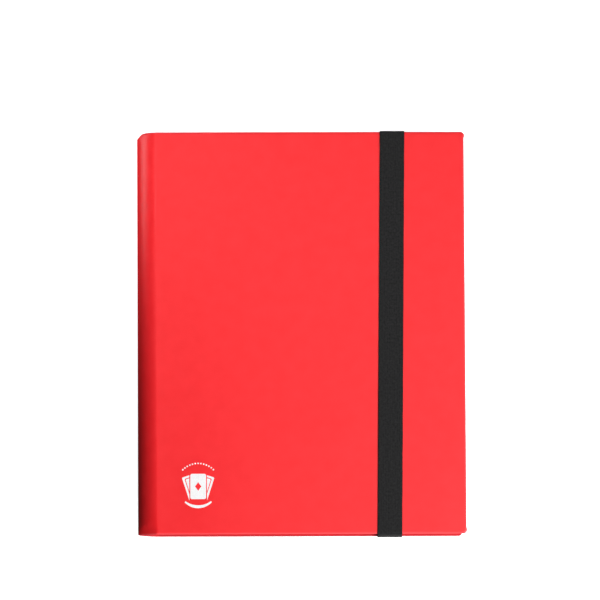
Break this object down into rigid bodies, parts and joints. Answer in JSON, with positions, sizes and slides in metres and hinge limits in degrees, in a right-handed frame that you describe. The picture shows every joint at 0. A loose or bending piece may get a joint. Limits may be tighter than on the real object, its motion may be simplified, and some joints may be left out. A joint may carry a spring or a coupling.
{
  "type": "trading card binder",
  "caption": "Trading card binder with a wrap-round plastic sheet cover, an elastic strap closure, and leaves of clear side-loading pockets that turn as it opens.",
  "frame": {"origin": "bottom centre of the bounding box of the closed binder lying on its back cover", "axes": "+X from the spine to the fore edge, +Y up the cover, +Z out of the front cover"},
  "size_m": [0.258, 0.3202, 0.0281],
  "materials": {
    "cover": "satin red polypropylene sheet",
    "strap": "woven elastic, black",
    "binding": "welded black film",
    "leaf": "black film",
    "pockets": "clear glossy film"
  },
  "bodies": {
    "back_cover": {"back_cover": "cover", "strap_end_top": "strap", "strap_end_bottom": "strap"},
    "spine": {"spine": "cover", "binding_strip": "binding"},
    "front_cover": {"front_cover": "cover"},
    "strap": {"elastic_strap": "strap"},
    "leaf_01": {"leaf_01": "leaf", "pockets_01": "pockets"},
    "leaf_02": {"leaf_02": "leaf", "pockets_02": "pockets"},
    "leaf_03": {"leaf_03": "leaf", "pockets_03": "pockets"},
    "leaf_04": {"leaf_04": "leaf", "pockets_04": "pockets"},
    "leaf_05": {"leaf_05": "leaf", "pockets_05": "pockets"},
    "leaf_06": {"leaf_06": "leaf", "pockets_06": "pockets"},
    "leaf_07": {"leaf_07": "leaf", "pockets_07": "pockets"},
    "leaf_08": {"leaf_08": "leaf", "pockets_08": "pockets"},
    "leaf_09": {"leaf_09": "leaf", "pockets_09": "pockets"},
    "leaf_10": {"leaf_10": "leaf", "pockets_10": "pockets"},
    "leaf_11": {"leaf_11": "leaf", "pockets_11": "pockets"},
    "leaf_12": {"leaf_12": "leaf", "pockets_12": "pockets"},
    "leaf_13": {"leaf_13": "leaf", "pockets_13": "pockets"},
    "leaf_14": {"leaf_14": "leaf", "pockets_14": "pockets"},
    "leaf_15": {"leaf_15": "leaf", "pockets_15": "pockets"},
    "leaf_16": {"leaf_16": "leaf", "pockets_16": "pockets"},
    "leaf_17": {"leaf_17": "leaf", "pockets_17": "pockets"},
    "leaf_18": {"leaf_18": "leaf", "pockets_18": "pockets"},
    "leaf_19": {"leaf_19": "leaf", "pockets_19": "pockets"},
    "leaf_20": {"leaf_20": "leaf", "pockets_20": "pockets"}
  },
  "joints": [
    {"name": "spine_fold", "type": "hinge", "parent": "back_cover", "child": "spine", "pos_m": [-0.1263, 0, 0.00375], "axis": [0, -1, 0], "range_deg": [0, 90]},
    {"name": "front_fold", "type": "hinge", "parent": "spine", "child": "front_cover", "pos_m": [-0.1263, 0, 0.02435], "axis": [0, -1, 0], "range_deg": [0, 90]},
    {"name": "leaf_01_turn", "type": "hinge", "parent": "spine", "child": "leaf_01", "pos_m": [-0.118, 0, 0.00313], "axis": [0, -1, 0], "range_deg": [-92, 0]},
    {"name": "leaf_02_turn", "type": "hinge", "parent": "spine", "child": "leaf_02", "pos_m": [-0.1171, 0, 0.00428], "axis": [0, -1, 0], "range_deg": [-92, 0]},
    {"name": "leaf_03_turn", "type": "hinge", "parent": "spine", "child": "leaf_03", "pos_m": [-0.1162, 0, 0.00543], "axis": [0, -1, 0], "range_deg": [-92, 0]},
    {"name": "leaf_04_turn", "type": "hinge", "parent": "spine", "child": "leaf_04", "pos_m": [-0.1153, 0, 0.00658], "axis": [0, -1, 0], "range_deg": [-92, 0]},
    {"name": "leaf_05_turn", "type": "hinge", "parent": "spine", "child": "leaf_05", "pos_m": [-0.1144, 0, 0.00773], "axis": [0, -1, 0], "range_deg": [-92, 0]},
    {"name": "leaf_06_turn", "type": "hinge", "parent": "spine", "child": "leaf_06", "pos_m": [-0.1135, 0, 0.00887], "axis": [0, -1, 0], "range_deg": [-92, 0]},
    {"name": "leaf_07_turn", "type": "hinge", "parent": "spine", "child": "leaf_07", "pos_m": [-0.1126, 0, 0.01002], "axis": [0, -1, 0], "range_deg": [-92, 0]},
    {"name": "leaf_08_turn", "type": "hinge", "parent": "spine", "child": "leaf_08", "pos_m": [-0.1117, 0, 0.01117], "axis": [0, -1, 0], "range_deg": [-92, 0]},
    {"name": "leaf_09_turn", "type": "hinge", "parent": "spine", "child": "leaf_09", "pos_m": [-0.1108, 0, 0.01232], "axis": [0, -1, 0], "range_deg": [-92, 0]},
    {"name": "leaf_10_turn", "type": "hinge", "parent": "spine", "child": "leaf_10", "pos_m": [-0.1099, 0, 0.01348], "axis": [0, -1, 0], "range_deg": [-92, 0]},
    {"name": "leaf_11_turn", "type": "hinge", "parent": "spine", "child": "leaf_11", "pos_m": [-0.1099, 0, 0.01463], "axis": [0, -1, 0], "range_deg": [0, 92]},
    {"name": "leaf_12_turn", "type": "hinge", "parent": "spine", "child": "leaf_12", "pos_m": [-0.1108, 0, 0.01578], "axis": [0, -1, 0], "range_deg": [0, 92]},
    {"name": "leaf_13_turn", "type": "hinge", "parent": "spine", "child": "leaf_13", "pos_m": [-0.1117, 0, 0.01692], "axis": [0, -1, 0], "range_deg": [0, 92]},
    {"name": "leaf_14_turn", "type": "hinge", "parent": "spine", "child": "leaf_14", "pos_m": [-0.1126, 0, 0.01808], "axis": [0, -1, 0], "range_deg": [0, 92]},
    {"name": "leaf_15_turn", "type": "hinge", "parent": "spine", "child": "leaf_15", "pos_m": [-0.1135, 0, 0.01922], "axis": [0, -1, 0], "range_deg": [0, 92]},
    {"name": "leaf_16_turn", "type": "hinge", "parent": "spine", "child": "leaf_16", "pos_m": [-0.1144, 0, 0.02038], "axis": [0, -1, 0], "range_deg": [0, 92]},
    {"name": "leaf_17_turn", "type": "hinge", "parent": "spine", "child": "leaf_17", "pos_m": [-0.1153, 0, 0.02152], "axis": [0, -1, 0], "range_deg": [0, 92]},
    {"name": "leaf_18_turn", "type": "hinge", "parent": "spine", "child": "leaf_18", "pos_m": [-0.1162, 0, 0.02268], "axis": [0, -1, 0], "range_deg": [0, 92]},
    {"name": "leaf_19_turn", "type": "hinge", "parent": "spine", "child": "leaf_19", "pos_m": [-0.1171, 0, 0.02382], "axis": [0, -1, 0], "range_deg": [0, 92]},
    {"name": "leaf_20_turn", "type": "hinge", "parent": "spine", "child": "leaf_20", "pos_m": [-0.118, 0, 0.02498], "axis": [0, -1, 0], "range_deg": [0, 92]},
    {"name": "strap_release", "type": "slide", "parent": "back_cover", "child": "strap", "axis": [0, 0, -1], "range_m": [0, 0.0282], "deforming": ["elastic_strap"]}
  ],
  "couplings": [
    {"joint": "front_fold", "follows": "spine_fold", "ratio": 1},
    {"joint": "leaf_01_turn", "follows": "spine_fold", "ratio": -1.0222},
    {"joint": "leaf_02_turn", "follows": "spine_fold", "ratio": -1.0222},
    {"joint": "leaf_03_turn", "follows": "spine_fold", "ratio": -1.0222},
    {"joint": "leaf_04_turn", "follows": "spine_fold", "ratio": -1.0222},
    {"joint": "leaf_05_turn", "follows": "spine_fold", "ratio": -1.0222},
    {"joint": "leaf_06_turn", "follows": "spine_fold", "ratio": -1.0222},
    {"joint": "leaf_07_turn", "follows": "spine_fold", "ratio": -1.0222},
    {"joint": "leaf_08_turn", "follows": "spine_fold", "ratio": -1.0222},
    {"joint": "leaf_09_turn", "follows": "spine_fold", "ratio": -1.0222},
    {"joint": "leaf_10_turn", "follows": "spine_fold", "ratio": -1.0222},
    {"joint": "leaf_11_turn", "follows": "spine_fold", "ratio": 1.0222},
    {"joint": "leaf_12_turn", "follows": "spine_fold", "ratio": 1.0222},
    {"joint": "leaf_13_turn", "follows": "spine_fold", "ratio": 1.0222},
    {"joint": "leaf_14_turn", "follows": "spine_fold", "ratio": 1.0222},
    {"joint": "leaf_15_turn", "follows": "spine_fold", "ratio": 1.0222},
    {"joint": "leaf_16_turn", "follows": "spine_fold", "ratio": 1.0222},
    {"joint": "leaf_17_turn", "follows": "spine_fold", "ratio": 1.0222},
    {"joint": "leaf_18_turn", "follows": "spine_fold", "ratio": 1.0222},
    {"joint": "leaf_19_turn", "follows": "spine_fold", "ratio": 1.0222},
    {"joint": "leaf_20_turn", "follows": "spine_fold", "ratio": 1.0222},
    {"joint": "strap_release", "follows": "spine_fold", "m_per_rad": 0.017951}
  ]
}
